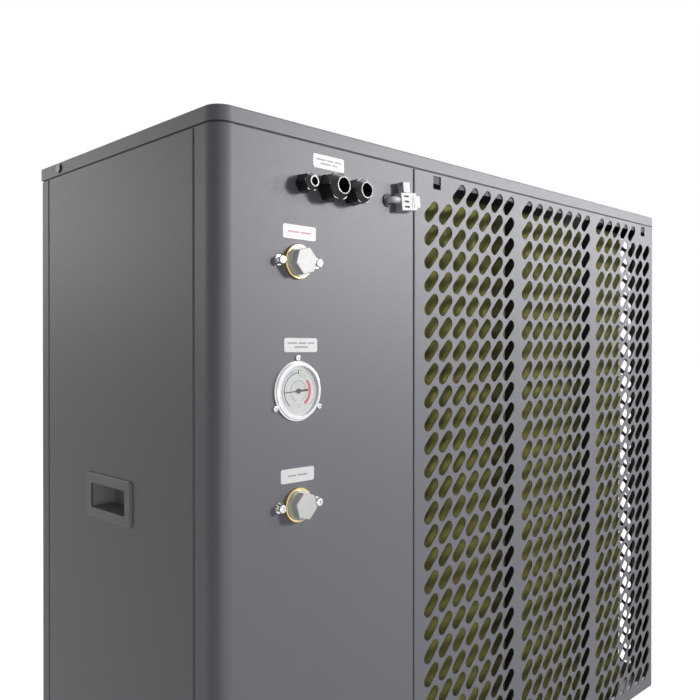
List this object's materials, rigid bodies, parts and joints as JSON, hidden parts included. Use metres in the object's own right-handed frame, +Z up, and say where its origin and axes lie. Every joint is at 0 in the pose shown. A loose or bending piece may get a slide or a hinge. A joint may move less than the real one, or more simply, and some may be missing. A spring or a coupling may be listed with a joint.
{
  "type": "air source heat pump",
  "caption": "Air source heat pump in a grey sheet-metal cabinet with a perforated coil guard, a fan behind a wire guard, capped water connections, a gauge and cable glands.",
  "frame": {"origin": "on the floor, under the middle of the cabinet, at the middle of the foot bolt pattern", "axes": "+X along the face with the coil guard and the water connections, to the right as seen from that face; +Y from that face to the fan side; +Z up"},
  "size_m": [1.071, 0.522, 0.98],
  "materials": {
    "cabinet_paint": "fine powder coat, satin dark grey",
    "frame_steel": "dark powder coat",
    "galvanised_steel": "galvanised sheet",
    "coated_fins": "gold water-shedding coat on close fins",
    "copper_tube": "bright drawn copper",
    "guard_wire": "black powder coat",
    "fan_plastic": "moulded dark grey",
    "motor_casting": "cast, matt",
    "handle_plastic": "moulded grey, fine grain",
    "black_fastener": "black satin",
    "black_nylon": "moulded black",
    "black_rubber": "soft matt",
    "light_grey_plastic": "moulded light grey",
    "light_grey_sheath": "smooth sheath",
    "brass": "turned",
    "white_plastic": "moulded white",
    "bright_screw": "bright plated",
    "gauge_chrome": "polished",
    "gauge_dial_white": "white enamel with plain scale arcs",
    "gauge_pointer_black": "black",
    "gauge_glass": "clear"
  },
  "bodies": {
    "root": {"base_pan": "galvanised_steel", "foot_rail_left": "cabinet_paint", "foot_rail_right": "cabinet_paint", "corner_posts": "frame_steel", "top_rails": "frame_steel", "top_cover": "cabinet_paint", "lid_screws": "black_fastener", "service_panel": "cabinet_paint", "coil_guard": "cabinet_paint", "guard_stiffeners": "frame_steel", "left_side_panel": "cabinet_paint", "right_side_panel": "cabinet_paint", "handle_left": "handle_plastic", "handle_right": "handle_plastic", "front_service_panel": "cabinet_paint", "front_fan_panel": "cabinet_paint", "partition_plate": "galvanised_steel", "coil_fin_pack": "coated_fins", "coil_plate_inner": "galvanised_steel", "coil_plate_outer": "galvanised_steel", "coil_return_bends": "copper_tube", "fan_bellmouth": "cabinet_paint", "fan_guard": "guard_wire", "fan_impeller": "fan_plastic", "fan_motor": "motor_casting", "motor_bracket": "galvanised_steel", "gland_bodies": "black_nylon", "gland_nuts": "black_nylon", "connector_body": "light_grey_plastic", "connector_latch": "light_grey_plastic", "connector_cable": "light_grey_sheath", "connector_grommet": "black_rubber", "outlet_fitting": "brass", "inlet_fitting": "brass", "outlet_cap": "white_plastic", "inlet_cap": "white_plastic", "water_screws": "bright_screw", "gauge_case": "gauge_chrome", "gauge_dial": "gauge_dial_white", "gauge_pointer": "gauge_pointer_black", "gauge_glass": "gauge_glass", "gauge_screws": "bright_screw"}
  },
  "joints": []
}
